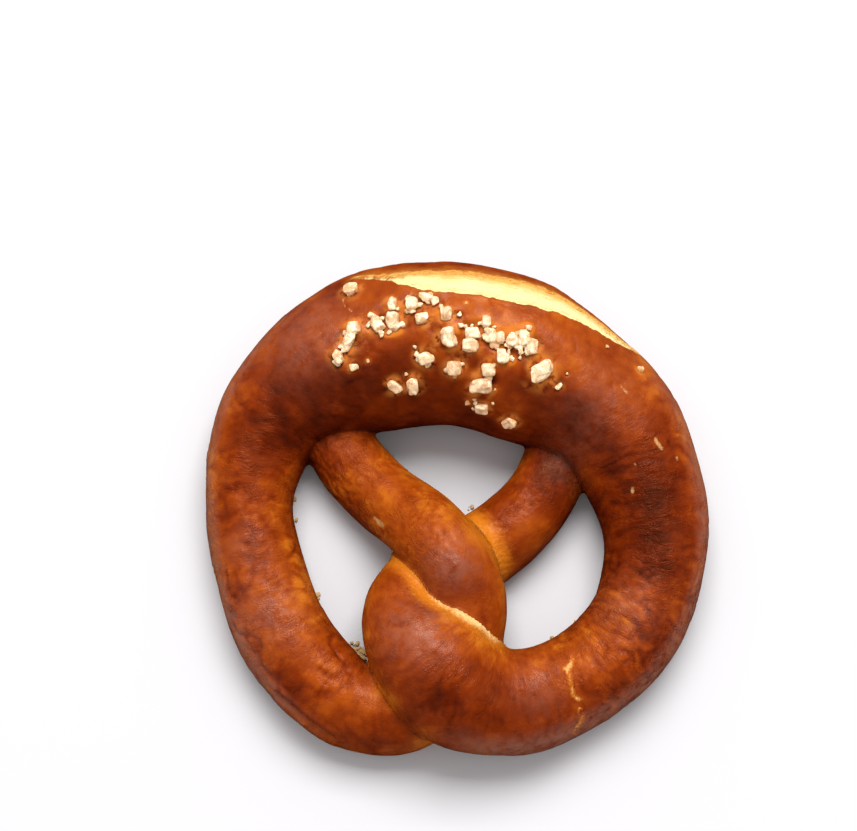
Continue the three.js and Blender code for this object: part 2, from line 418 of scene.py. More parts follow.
# How the crust is baked, at stations along the rope: 0 is golden and 1 is darkest.
# Each is a station, then the top, the inner side (right along the route) and the outer side.
TONES = np.array([
    [0, 0.35, 0.35, 0.2], [2, 0.38, 0.4, 0.22], [4, 0.28, 0.22, 0.18], [5.5, 0.42, 0.32, 0.3],
    [7, 0.5, 0.48, 0.46], [9, 0.42, 0.48, 0.52], [11, 0.33, 0.3, 0.34], [13, 0.57, 0.35, 0.21],
    [14.5, 0.72, 0.58, 0.14], [16, 0.47, 0.7, 0.4], [18, 0.26, 0.54, 0.44], [20, 0.3, 0.7, 0.32],
    [21.5, 0.7, 0.73, 0.21], [23, 0.75, 0.47, 0.34], [24.5, 0.38, 0.38, 0.7], [26, 0.48, 0.32, 0.5],
    [28, 0.5, 0, 0.64], [29.5, 0.38, 0, 0.48], [31, 0.54, 0.29, 0.37], [33, 0.46, 0.46, 0.62],
    [34, 0.44, 0.4, 0.48], [35, 0.9, 0.86, 0.2], [37, 0.78, 0.65, 0.65],
])

# How golden the dough stays beside the strand that it crosses, at stations
GOLDEN = np.array([
    [3, 0], [4.5, 0.25], [8, 0.2], [10, 0.3], [12, 0],
    [25, 0], [27, 0.45], [29.5, 1], [34, 1], [35.5, 0],
])

# How wrinkled the crust is at stations: across the rope, along it, in puckers and in puffs
WRINKLES = np.array([
    [0, 0.2, 0.9, 1.2, 0.2], [3.5, 0.2, 0.9, 1.3, 0.2], [5, 0.1, 0.4, 0.7, 0.1],
    [7, 0.3, 0.3, 0.4, 0.2], [9.5, 0.6, 0.2, 0.5, 0.8], [12, 0.9, 0.1, 0.5, 0.8],
    [14, 0.8, 0.1, 0.3, 0.4], [15.5, 0.3, 0.1, 0.3, 0.4], [17, 0.1, 0.1, 0.2, 0.4],
    [20, 0.2, 0.1, 0.3, 0.3], [21.5, 0.8, 0.1, 0.4, 0.2], [24.5, 1.4, 0.2, 0.8, 0.5],
    [26.5, 0.6, 0.1, 0.6, 0.3], [28, 0.7, 0.1, 0.4, 0.1], [30, 0.5, 0.5, 0.5, 0.1],
    [33, 0.2, 0.5, 0.8, 0.1], [36, 0.4, 0.4, 1, 0.2], [LAST, 0.2, 0.7, 0.9, 0.2],
])

# Where the crust has cracked down to pale dough: lines of x, y and width
CRACKS = [
    [(28.7, -39.7, 0.5), (28.2, -41.2, 0.9), (27.2, -43, 1.4), (27.6, -44.6, 0.5),
     (28.2, -47, 0.4), (28.6, -49.2, 0.5), (30.2, -50.6, 0.8), (30.5, -53, 0.9),
     (31, -54.6, 0.3), (29.3, -57.3, 0.6)],
]
CRACK_DEPTH = 0.22

# Small light marks on the crust: lines of x, y and width
MARKS = [
    [(49.7, 13.8, 1), (51.2, 11.7, 1.3)],
    [(41.1, 27.1, 0.5), (42.8, 25.2, 0.9)],
    [(55.2, 9.8, 0.6), (55.5, 9.2, 0.6)],
    [(44.5, 7.7, 0.6), (44.7, 7.4, 0.6)],
    [(44.1, 1.9, 0.8), (44, 1, 0.9)],
    [(-20.5, -4, 0.6), (-19.4, -5.2, 1.2), (-18.2, -6.6, 0.7)],
    [(-28.3, 49, 0.7), (-27.9, 47, 0.4)],
    [(-26.7, 46.3, 0.4), (-26.2, 45.5, 0.6)],
]
MARK_DEPTH = 0.08

# Patches where the crust is lighter or darker than round them: x, y, radius and the change
PATCHES = [
    (-8, 0.5, 3, -0.2), (33, 7.8, 3, -0.25), (-40, -24, 5, -0.15), (-47, -11.5, 4, -0.18),
    (-57, -28, 6, -0.15), (-54, 14.7, 6, 0.08), (-44, 28, 6, 0.1), (48, -14, 5, 0.12),
    (50.8, 3.7, 6, 0.08), (49.8, -20, 5, 0.12), (43, -26, 6, -0.1), (4, -10.5, 4, -0.2),
    (-1, -25, 5, 0.1), (6, -23.5, 4, 0.15), (33, -37, 5, -0.2), (23.6, -43.4, 5, -0.16),
    (-13.4, -33.2, 4, -0.18), (-16.1, -51.6, 4, -0.18), (-40.2, -45, 4, 0.2), (-46.3, -40.9, 4, 0.15),
    (12.3, -12.1, 3, 0.18), (34.1, 3.4, 3, -0.25), (-13.6, 22.5, 3, -0.2), (44.1, -36.9, 4, 0.18),
    (9.3, 28.2, 3.5, -0.2), (53.4, 0, 4, 0.15), (-5.5, -50, 6, 0.16), (-31.9, 11.3, 4, 0.16),
    (42.2, -13, 4, 0.12), (-46.6, -0.1, 5, -0.13), (-43.9, -15.3, 4, -0.08), (15.7, -40.6, 4, 0.15),
    (-14, -57.5, 4, 0.12), (42.7, -40.7, 4, -0.12), (-14, 24.1, 4, -0.12), (50, -20, 4, 0.1),
    (39.5, -1.5, 4, 0.12), (41, 25, 5, -0.1), (-2, -52, 6, 0.2), (8, -55, 6, 0.18),
    (26, -54, 5, 0.12), (-13, -33, 2.5, 0.2), (-26, 27, 5, 0.15), (-37, 30, 6, 0.2),
    (-11.5, 21.5, 6, 0.3), (-48, 11.5, 5, 0.12), (-41, 16, 6, 0.12), (36, 5, 6, 0.1),
    (-27.5, -37.5, 4, 0.15), (-27.5, -56, 4, 0.15), (-7, -57, 4, -0.3), (6, -62, 6, -0.2),
    (-37.5, -39.5, 4, -0.2), (-10.8, 42.5, 5, -0.15), (3, 40.5, 5, -0.15), (15.3, 35.3, 5, -0.25),
    (14.5, 21, 4, -0.25),
]

# Where the crease under the twist is palest: x, y, radius and how pale
PALE_CREASES = [
    (-11, -18.7, 4, 0.3), (-4, -26, 4, 0.55), (0.5, -30.5, 3, 0.65), (4.5, -33.5, 3.5, 1),
    (9, -35.3, 3.5, 1), (6, -6.5, 4, 0.35), (10.5, -13, 4, 0.3), (-19.5, -43.5, 3, 0.7),
]

# Where the crust is glossier and has a pinkish sheen painted into its colour: x, y, radius and how strong
SHEEN_PATCHES = [
    (-1, -17.5, 6, 0.95), (-39, 38, 9, 0.6), (-33, 46, 7, 0.3), (36, 23, 9, 0.4),
    (-47, -29, 8, 0.7), (-52, -12, 5, 0.5), (-10, -34.5, 7.5, 0.9), (20, -48, 6, 0.5),
    (43, -28, 7, 0.5), (27, 10, 5, 0.4),
]

# A fold low on the outer side, where the dough was pinched: lines of x, y and width
FOLDS = [
    [(-44.6, -47.7, 0.3), (-42.5, -49.7, 0.8), (-40.3, -51.7, 1.1), (-38.3, -53.6, 1.2),
     (-36.3, -55.1, 1.1), (-33.6, -57, 0.9), (-30.4, -58.6, 0.3)],
]


def by_station(table, station):
    """A table's columns, read at stations between its rows, and level past its ends."""
    return [np.interp(station, table[:, 0], column) for column in table.T[1:]]


def lines_depth(points, lines):
    """How far inside a line's width each point is, seen from above; below 0 outside."""
    pieces = [piece for line in lines for piece in zip(line[:-1], line[1:])]
    best = np.full(len(points), -np.inf)
    for (x0, y0, w0), (x1, y1, w1) in pieces:
        start = np.array([x0, y0])
        step = np.array([x1 - x0, y1 - y0])
        share = np.clip((points[:, :2] - start) @ step / (step @ step), 0, 1)
        away = np.linalg.norm(points[:, :2] - start - share[:, None] * step, axis=1)
        best = np.maximum(best, (w0 + (w1 - w0) * share) / 2 - away)
    return best


def patched(points, patches):
    """The sum of soft round patches at each point, seen from above."""
    total = np.zeros(len(points))
    for x, y, radius, change in patches:
        away = np.linalg.norm(points[:, :2] - (x, y), axis=1)
        total += change * bell(away, radius)
    return total


class Slit:
    """The burst along the belly: points along its middle, and its width there."""

    def __init__(self):
        stations, degrees, width = curve_points(SLIT, np.linspace(0, 1, SLIT_SAMPLES)).T
        station = BELLY_START + stations
        angle = np.radians(degrees)
        self.points = rope_surface(station, angle)
        self.width = width
        turn = 0.05
        above = rope_surface(station, angle - turn) - rope_surface(station, angle + turn)
        self.towards_top = above / np.linalg.norm(above, axis=1, keepdims=True)

    def depth(self, points):
        """How far inside the slit each point is, below 0 outside it, and which side it is on."""
        low = self.points.min(axis=0) - SLIT_REACH
        high = self.points.max(axis=0) + SLIT_REACH
        near = np.flatnonzero(np.all((points > low) & (points < high), axis=1))
        depth = np.full(len(points), -float(SLIT_REACH))
        side = np.zeros(len(points))
        at_once = 4000
        for rows in np.array_split(near, max(1, len(near) // at_once)):
            offset = points[rows][:, None] - self.points[None]
            away = np.linalg.norm(offset, axis=2)
            inside = self.width / 2 - away
            best = np.argmax(inside, axis=1)
            pick = np.arange(len(rows))
            depth[rows] = inside[pick, best]
            side[rows] = np.sum(offset[pick, best] * self.towards_top[best], axis=1)
        return depth, side


class Crust:
    """The crust's points, with what each knows about its place."""

    def __init__(self, rope):
        self.mesh = remeshed(rope.mesh(), VOXEL)
        self.edges = read_edges(self.mesh)
        self.points = read_points(self.mesh)
        self.station, turn, nearest = rope.locate(self.points)
        self.strand = other_strand(rope, self.points, self.station)
        free = ease(0.8, 2.5, self.strand)[:, None]
        self.points = self.points * (1 - free) + nearest * free
        self.golden, = by_station(GOLDEN, self.station)
        fused = (0.3 + 0.7 * self.golden) * bell(self.strand, 1.4)
        self.points = relaxed(self.points, self.edges, fused, 5)
        self.points = relaxed(self.points, self.edges, SMOOTHING, 2)
        self.wrinkles = by_station(WRINKLES, self.station)
        self.belly = on_stretch(BELLY_STRETCH, self.station)
        # 1 at the rope's inner side, to the right along the route, and -1 at its outer side
        self.inward = np.cos(turn - math.pi / 2)
        leeward = ease(0, 0.5, -self.inward) * on_stretch(LEEWARD_STRETCH, self.station)
        self.golden = self.golden * (1 - 0.7 * leeward)
        self.along = np.interp(self.station, rope.stations, rope.length)
        width, height = curve_points(SIZES, self.station / LAST).T
        self.around = turn * (width + height) / 4
        self.update()

    def update(self):
        """Sets the mesh to the points and reads its outward directions again."""
        write_points(self.mesh, self.points)
        self.normals = read(self.mesh.vertex_normals, "vector", 3)

    def push(self, height):
        """Moves each point outward by a height."""
        self.points = self.points + self.normals * height[:, None]
        self.update()

    def tree(self):
        """A search tree over the crust's faces, which have four corners each."""
        faces = read(self.mesh.loops, "vertex_index", 1, np.int32).reshape(-1, 4)
        return BVHTree.FromPolygons(self.points.tolist(), faces.tolist())

    def noise(self, size, seed):
        """Soft noise at the points, whose lumps are about size across."""
        return noise_at(self.points, size, seed)

    def warp(self):
        """How far the rope's wrinkles stray from straight lines."""
        return 2.2 * self.noise(5, 4)

    def rope_noise(self, along, around, seed, warp=0):
        """Noise stretched on the rope: lumps about along by around across, bent by a warp."""
        level = np.zeros(len(self.along))
        place = [(self.along + warp) / along, (self.around + warp) / around, level]
        return noise_at(np.stack(place, axis=1), 1, seed)


def raise_dough(crust):
    """The dough's soft lumps, and the seam where it has grown on to another strand."""
    lumps = 0.30 * crust.noise(14, 1) + 0.14 * crust.noise(6, 2)
    seam = 0.8 * crust.golden * bell(crust.strand, 1.5)
    crust.push(lumps - 0.1 + seam)


def raise_wrinkles(crust):
    """Shallow wrinkles across the rope and along it, puckers and puffs. Gives their relief."""
    across, lengthwise, pucker, puffed = crust.wrinkles
    blotch = np.clip(0.55 + 1.2 * crust.noise(9, 3), 0.1, 1.2)
    warp = crust.warp()
    cross = folded(crust.rope_noise(2.6, 6.5, 5, warp))
    fine = folded(crust.rope_noise(5.5, 2.4, 6, warp))
    puffs = folded(crust.noise(5, 7))
    puckers = folded(crust.noise(2, 8))
    open_top = ease(-0.3, 0.3, crust.normals[:, 2])
    relief = 0.7 * across * cross + 0.7 * lengthwise * fine
    relief = relief + 1.25 * puffed * puffs + 0.5 * pucker * puckers
    crust.push(open_top * blotch * relief)
    return blotch * relief


def carve_slit(crust, slit):
    """The burst: rough crumb between torn edges. Says how far in each point is, and its side."""
    depth, side = slit.depth(crust.points)
    torn = 0.55 * crust.noise(2.6, 6) + 0.3 * crust.noise(1.1, 7)
    inside = depth + torn * ease(-3, -0.5, depth)
    front = ease(-3, 1.5, side)
    hollow = SLIT_DEPTH * (0.25 + 0.2 * front + 0.55 * front * bell(inside - 0.7, 0.8))
    crumb = 0.22 * crust.noise(1.3, 8) + 0.26 * crust.noise(3.5, 9)
    opening = ease(-0.3, 0.4, inside)
    lip = 0.22 * bell(inside + 0.6, 0.5)
    crust.push(opening * (crumb - hollow) + lip)
    return inside, side


def carve_lines(crust, lines, deep):
    """Shallow grooves along lines. Says how far inside the nearest line each point is."""
    upper = crust.normals[:, 2] > -0.1
    inside = np.where(upper, lines_depth(crust.points, lines), OFF_LINE)
    inside = inside + 0.25 * crust.noise(1.2, 10) * ease(-1.5, -0.2, inside)
    crust.push(-deep * ease(-0.35, 0.4, inside))
    return inside


def carve_fold(crust):
    """The groove of a fold low on the rope's outer side, and the lips beside it."""
    above_tray = crust.points[:, 2] > 2.5
    inside = np.where(above_tray, lines_depth(crust.points, FOLDS), OFF_LINE)
    crust.push(-0.7 * ease(-0.6, 0.4, inside) + 0.25 * ease(-1.8, -0.8, inside))


def salt_places(crust):
    """Where each grain lies: its point, the outward direction, its length, width and turn."""
    draws = np.random.RandomState(3)
    tree = crust.tree()
    places = []
    chips = [[x, y, length, CHIP_WIDTH * length, draws.uniform(0, 180)] for x, y, length in CHIPS]
    for x, y, length, width, turn in SALT + chips:
        above = Vector((x - MIDDLE[0], y - MIDDLE[1], 100))
        point, outward = tree.ray_cast(above, Vector((0, 0, -1)))[:2]
        places.append((point, outward, length, width, math.radians(turn)))
    return places


def seat_salt(crust, places):
    """A dimple under each grain with glaze round it. Says where the glaze and the dimples are."""
    dimples = np.zeros(len(crust.points))
    halo = np.zeros(len(crust.points))
    for point, _, length, width, _ in places:
        size = (length + width) / 2
        away = np.linalg.norm(crust.points - np.array(point), axis=1)
        near = away < 3 * size
        close = away[near]
        dimples[near] -= 0.25 * bell(close, 0.8 * size)
        rim = bell(close - 0.55 * size, 0.33 * size)
        halo[near] = np.maximum(halo[near], rim * min(1, size / 3))
    salted = ease(0.02, 0.25, -dimples)
    bumps = 0.7 * crust.noise(4, 20) + 0.35 * crust.noise(2, 21)
    glaze = 0.18 * halo * (0.5 + crust.noise(1.5, 22))
    crust.push(np.maximum(dimples, -0.5) + salted * bumps + glaze)
    return halo * np.clip(0.75 + 1.4 * crust.noise(3, 23), 0, 1), salted


def within_box(points):
    """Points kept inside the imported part's box, whose bottom is the tray."""
    low, high = (np.array(corner) / MM for corner in cad_box)
    return np.clip(points, low, high)


# Where the dough has crept out furthest over the tray: x, y, radius and how far
SPREAD = [
    (-41, -50.5, 4, 1.8), (-36, -54, 4, 1.8), (-31, -56.5, 3.5, 1.2),
]


def settle(crust):
    """The flat sole, with a thin uneven edge where the dough crept over the tray."""
    sideways = crust.normals.copy()
    sideways[:, 2] = 0
    creep = 0.35 + 0.7 * crust.noise(3, 24) + patched(crust.points, SPREAD)
    creep *= ease(1.6, 0.5, crust.points[:, 2])
    crust.points = within_box(crust.points + sideways * np.maximum(creep, 0)[:, None])
    crust.update()


def baked(crust):
    """How darkly each point is baked, from 0, golden, to 1, darkest."""
    top, inner, outer = by_station(TONES, crust.station)
    tone = top + (inner - top) * ease(0.1, 0.95, crust.inward)
    tone = tone + (outer - top) * ease(0.1, 0.95, -crust.inward)
    # Painted bounce light from the floor at the outer edge, and lighter just above the tray; the belly's
    # inner shoulder is darker, partly baked darker and partly painted shade
    tone -= 0.15 * ease(-0.75, -1, crust.inward)
    tone -= 0.2 * ease(4, 0, crust.points[:, 2])
    tone += 0.28 * crust.belly * bell(crust.inward - 0.42, 0.25)
    # Golden beside another strand, or else darkened in the crease as painted shade
    tone -= 0.4 * crust.golden * bell(crust.strand, 4.5)
    tone += 0.15 * (1 - np.minimum(1, 3 * crust.golden)) * bell(crust.strand, 1.5)
    # Uneven in blotches, larger and smaller, and in streaks with the wrinkles
    across, lengthwise, _, puffed = crust.wrinkles
    uneven = 0.6 + 0.4 * np.minimum(puffed, 1)
    tone += 0.18 * crust.noise(11, 11) + 0.20 * uneven * crust.noise(5, 12)
    tone += 0.10 * uneven * crust.noise(2.2, 13)
    warp = crust.warp()
    tone += 0.20 * across * crust.rope_noise(1.6, 6, 14, warp)
    tone += 0.12 * lengthwise * crust.rope_noise(6, 1.6, 15, warp)
    return tone + patched(crust.points, PATCHES)


def creases(crust):
    """How golden and how pale each point is in a crease beside another strand."""
    lower = crust.station > MIDDLE_PART[1]
    frayed = np.maximum(crust.strand + crust.rope_noise(1, 4, 30) * lower, 0)
    pale = np.clip(patched(crust.points, PALE_CREASES), 0, 1)
    golden = crust.golden * bell(frayed, np.where(lower, 5.4, 3.0))
    return golden, lower * pale * crust.golden * bell(frayed, 4.2)


def sheen(crust, tone):
    """How glossy each point is, and how much pinkish sheen is painted into its colour."""
    outside = ease(0.3, 0.9, -crust.inward)
    # The loops' outer rim gets a painted reflection of the floor in its colour
    rim = ease(0.6, 0.95, -crust.inward)
    loops = on_stretch(LOOPS_STRETCH, crust.station) * (1 - crust.belly)
    sheen_patches = patched(crust.points, SHEEN_PATCHES)
    gloss = np.clip(0.35 + 0.7 * sheen_patches, 0, 1) * np.clip(1.25 - 1.35 * tone, 0.05, 1)
    # A pinkish sheen painted into the colour, in the patches and on the loops' outer rim
    painted_sheen = np.clip(0.6 * sheen_patches + 0.9 * loops * rim, 0, 1)
    return (1 - 0.85 * crust.belly * outside) * gloss, painted_sheen


def crust_piece():
    """The crust, with all that its material reads. Also gives the salt's places and the crust's tree."""
    rope = Rope()
    crust = Crust(rope)
    raise_dough(crust)
    relief = raise_wrinkles(crust)
    slit, side = carve_slit(crust, Slit())
    crack = carve_lines(crust, CRACKS, CRACK_DEPTH)
    light = carve_lines(crust, MARKS, MARK_DEPTH)
    carve_fold(crust)
    places = salt_places(crust)
    halo, salted = seat_salt(crust, places)
    settle(crust)
    across, lengthwise, pucker, _ = crust.wrinkles
    # Painted shade and light: wrinkle valleys and hollows among the salt darker, ridges and lumps lighter
    painted_lump_shade = salted * crust.noise(4, 20)
    tone = baked(crust) - 0.8 * relief - 0.9 * painted_lump_shade
    golden, pale = creases(crust)
    gloss, painted_sheen = sheen(crust, tone)
    on_tray = ease(0.5, 0.05, crust.points[:, 2])
    facing_down = ease(-0.5, -0.9, crust.normals[:, 2])
    stored = {
        "bake": tone, "gloss": gloss, "painted_sheen": painted_sheen, "halo": halo, "light": light, "crack": crack,
        "crease": golden, "pale_crease": pale, "slit": slit, "slit_back": -side,
        "along": crust.along, "around": crust.around, "sole": on_tray * facing_down,
        "across": across, "lengthwise": lengthwise, "pucker": pucker,
    }
    for name, values in stored.items():
        store(crust.mesh, name, values)
    return smooth_piece("crust", crust.mesh), places, crust.tree()


def ball(levels):
    """The points and faces of a ball of triangles."""
    mesh = bpy.data.meshes.new("ball")
    made = bmesh.new()
    bmesh.ops.create_icosphere(made, subdivisions=levels, radius=1)
    made.to_mesh(mesh)
    made.free()
    points = np.array([v.co for v in mesh.vertices])
    faces = np.array([p.vertices for p in mesh.polygons])
    bpy.data.meshes.remove(mesh)
    return points, faces


# A crystal: its roundness, where 1 is a ball, its cuts and how far out they lie, and its pits
BLOCK_POWER = 0.45
CUTS = 7
CUT_RANGE = (0.6, 0.95)
PIT_DEPTH = 0.04
PIT_RATE = 2.2


def crystal(points, draws):
    """A pitted block with flat cuts, which fills a cube of side 1."""
    shape = signed_power(points, BLOCK_POWER)
    for _ in range(CUTS):
        direction = draws.normal(size=3)
        direction /= np.linalg.norm(direction)
        excess = np.maximum(shape @ direction - draws.uniform(*CUT_RANGE), 0)
        shape = shape - excess[:, None] * direction
    shift = Vector(draws.uniform(-50, 50, 3))
    pits = np.array([noise.noise(Vector(p) * PIT_RATE + shift) for p in shape])
    shape = shape * (1 + PIT_DEPTH * pits)[:, None]
    low, high = shape.min(axis=0), shape.max(axis=0)
    return (shape - (low + high) / 2) / (high - low)


def standing_on(outward, turn):
    """The rotation that first turns about +Z and then leans +Z over to a direction."""
    lean = Vector((0, 0, 1)).rotation_difference(Vector(outward)).to_matrix()
    return np.array(lean @ Matrix.Rotation(turn, 3, "Z"))


def joined_mesh(name, parts, faces):
    """One mesh out of parts that all have the same faces."""
    count = len(parts[0])
    points = np.concatenate(parts) * MM
    numbers = np.concatenate([faces + k * count for k in range(len(parts))])
    mesh = bpy.data.meshes.new(name)
    mesh.from_pydata(points.tolist(), [], numbers.tolist())
    mesh.update()
    return mesh


def smooth_piece(name, mesh):
    """A piece out of a mesh, with smooth shading."""
    mesh.polygons.foreach_set("use_smooth", np.ones(len(mesh.polygons), bool))
    mesh.name = name
    return new_object(name, mesh)


def height_over(tree, points):
    """How high each point stands over the faces in a tree."""
    found = [tree.find_nearest(Vector(p))[:2] for p in points]
    return np.array([(Vector(p) - near) @ outward for p, (near, outward) in zip(points, found)])


# A grain longer than this is three crystals: the sizes of the first and the others, as parts of it
LONE_LENGTH = 3
FIRST_PART = 0.95
OTHER_PARTS = (0.7, 0.88)


def salt_piece(places, crust_tree):
    """The grains of salt, as crystals grown together, set a little into the crust."""
    draws = np.random.RandomState(7)
    points, faces = ball(3)
    crystals = []
    for point, outward, length, width, turn in places:
        tall = SALT_HEIGHT * (length + width) / 2
        spans = np.array([length, width, tall])
        stand = standing_on(outward, turn)
        middle = np.array(point) + np.array(outward) * tall * SALT_RISE
        count = 3 if length > LONE_LENGTH else 1
        for number in range(count):
            share = draws.uniform(*OTHER_PARTS) if number else FIRST_PART
            slip = draws.choice([-1, 1], 3) * (1 - share) / 2 * spans * np.array([1, 1, 0.5])
            shape = crystal(points, draws) * spans * share + slip
            crystals.append(shape @ stand.T + middle)
    mesh = remeshed(joined_mesh("salt", crystals, faces), SALT_VOXEL)
    fused = within_box(relaxed(read_points(mesh), read_edges(mesh), SMOOTHING, 1))
    write_points(mesh, fused)
    store(mesh, "rise", height_over(crust_tree, fused))
    return smooth_piece("salt", mesh)


# Crumbs on the tray along the sole's edge: x, y, how many and how far they spread
CRUMBS = [
    (-41.8, 4.2, 6, 1.2), (-42, -1.4, 3, 0.8), (-40.2, -11.4, 7, 1.2), (-35.4, -21.4, 8, 1.4),
    (-25.4, -35.6, 40, 2), (-23.4, -36.6, 30, 1.6), (3.9, 1.7, 5, 1.2), (24.8, -33.2, 12, 2),
    (31.4, -28.4, 5, 1.4), (37.4, -22.8, 3, 1.2),
]
CRUMB_SIZES = (0.5, 1.4)
CRUMB_SHAPE = np.array([1, 0.7, 0.5])


def crumbs_piece():
    """Small flat crumbs on the tray."""
    draws = np.random.RandomState(11)
    points, faces = ball(2)
    crumbs = []
    for x, y, count, spread in CRUMBS:
        for _ in range(count):
            size = draws.uniform(*CRUMB_SIZES)
            shape = crystal(points, draws) * (size * CRUMB_SHAPE)
            turn = standing_on((0, 0, 1), draws.uniform(0, 2 * math.pi))
            offset = draws.normal(size=2) * spread / 2
            middle = np.array([x + offset[0], y + offset[1], size * draws.uniform(0.2, 0.7)])
            crumbs.append(shape @ turn.T + middle)
    mesh = remeshed(joined_mesh("crumbs", crumbs, faces), SALT_VOXEL)
    write_points(mesh, within_box(read_points(mesh)))
    return smooth_piece("crumbs", mesh)


class Output:
    """What a node gives, a number or a colour. Sums of numbers are written with + - and *."""

    def __init__(self, look, socket):
        self.look = look
        self.socket = socket

    def __add__(self, other):
        return self.look.calculate("ADD", self, other)

    def __sub__(self, other):
        return self.look.calculate("SUBTRACT", self, other)

    def __rsub__(self, other):
        return self.look.calculate("SUBTRACT", other, self)

    def __mul__(self, other):
        return self.look.calculate("MULTIPLY", self, other)

    def at_least(self, other):
        """The larger of this number and another."""
        return self.look.calculate("MAXIMUM", self, other)

    def band(self, low, high):
        """0 where the number is at low, 1 where it is at high, and smooth between."""
        inputs = {"Value": self, "From Min": low, "From Max": high}
        return self.look.node("MapRange", inputs, interpolation_type="SMOOTHSTEP")

    def creased(self):
        """Noise from 0 to 1 folded at its middle, so that it has sharp valleys."""
        away = self.look.calculate("ABSOLUTE", self - 0.5)
        return self.look.calculate("MINIMUM", away * 4, 1)


class Look:
    """A material that is put together node by node."""

    def __init__(self, name):
        self.material = bpy.data.materials.new(name)
        self.material.use_nodes = True
        self.tree = self.material.node_tree

    def connect(self, node, inputs):
        """Sets a node's inputs to numbers, colours or what other nodes give."""
        for name, value in inputs.items():
            if isinstance(value, Output):
                self.tree.links.new(value.socket, node.inputs[name])
            else:
                node.inputs[name].default_value = value

    def node(self, kind, inputs=None, output=0, **settings):
        """What a new node of a kind gives, with its inputs and its settings."""
        node = self.tree.nodes.new("ShaderNode" + kind)
        for name, value in settings.items():
            setattr(node, name, value)
        self.connect(node, inputs or {})
        return Output(self, node.outputs[output])

    def shaded(self, inputs):
        """The finished material, with its shader's inputs."""
        self.connect(self.tree.nodes["Principled BSDF"], inputs)
        return self.material

    def calculate(self, operation, *values):
        """The result of one sum."""
        return self.node("Math", dict(enumerate(values)), operation=operation)

    def stored(self, name):
        """A value that the mesh stores at its points."""
        return self.node("Attribute", output="Fac", attribute_name=name)

    @cached_property
    def place(self):
        """The place on the piece."""
        return self.node("TexCoord", output="Object")

    def grain(self, size, detail=2.0):
        """Noise from 0 to 1 whose lumps are about size millimetres across."""
        inputs = {"Vector": self.place, "Scale": 1 / (size * MM), "Detail": detail, "Roughness": 0.6}
        return self.node("TexNoise", inputs, "Fac")

    def stretched(self, along, around):
        """Noise from 0 to 1 stretched on the rope: crooked lumps about along by around millimetres."""
        place = self.node("CombineXYZ", {
            "X": self.calculate("DIVIDE", self.stored("along"), along),
            "Y": self.calculate("DIVIDE", self.stored("around"), around),
        })
        inputs = {"Vector": place, "Scale": 1.0, "Detail": 3.0, "Roughness": 0.6, "Distortion": 1.2}
        return self.node("TexNoise", inputs, "Fac")

    def mixed(self, share, first, second):
        """One colour passing to another by a share."""
        return self.node("Mix", {0: share, 6: first, 7: second}, 2, data_type="RGBA")

    def ramp(self, value, stops):
        """The colour that a value reads off between stops, each a number with its colour."""
        colour = self.node("ValToRGB", {"Fac": value}, "Color")
        elements = colour.socket.node.color_ramp.elements
        while len(elements) < len(stops):
            elements.new(0.5)
        for element, (position, shade) in zip(elements, stops):
            element.position = position
            element.color = shade
        return colour

    def bumped(self, height, deep, under=None):
        """A bump of a height from 0 to 1, deep millimetres deep, on top of another bump."""
        inputs = {"Height": height, "Distance": deep * MM, "Strength": 1.0}
        if under is not None:
            inputs["Normal"] = under
        return self.node("Bump", inputs)


# The crust's colour as it bakes, from golden to darkest
BAKED_COLOURS = [
    (0.00, (0.40, 0.103, 0.0055, 1)),
    (0.25, (0.255, 0.0425, 0.0022, 1)),
    (0.50, (0.160, 0.0188, 0.0010, 1)),
    (0.75, (0.086, 0.0080, 0.0007, 1)),
    (1.00, (0.036, 0.0032, 0.0009, 1)),
]
MOTTLE = 0.23
STREAKS = 0.30

# A pinkish colour painted into the crust as sheen
PAINTED_SHEEN = (0.24, 0.088, 0.056, 1)
CARAMEL = (0.42, 0.125, 0.020, 1)
GOLD = (0.46, 0.13, 0.006, 1)
CREAM = (0.68, 0.44, 0.17, 1)
CRUMB = (0.62, 0.54, 0.26, 1)
CRUMB_SHADE = (0.55, 0.27, 0.055, 1)
TORN = (0.29, 0.080, 0.009, 1)
SOLE = (0.20, 0.10, 0.035, 1)

# The crust's lowest gloss, and how much more it has at most
GLOSS_LOW = 0.03
GLOSS_RISE = 0.38

# The crust's roughness at its dullest, the change to its smoothest, and that of bare crumb
CRUST_ROUGH = 0.52
CRUST_SMOOTHER = -0.22
BARE_ROUGH = 0.9


def baked_colour(look):
    """The crust's colour as it is baked, mottled and streaked, with a pinkish sheen painted in."""
    mottle = look.grain(1.8, 5) - 0.5
    streak = (look.stretched(1.6, 4) - 0.5) * look.stored("across")
    bake = look.stored("bake") + mottle * MOTTLE + streak * STREAKS
    # Pinkish sheen painted into the colour where the mesh stores it
    painted_sheen = look.stored("painted_sheen") * look.grain(2.5, 5).band(0.2, 0.65)
    return look.mixed(painted_sheen, look.ramp(bake, BAKED_COLOURS), PAINTED_SHEEN)


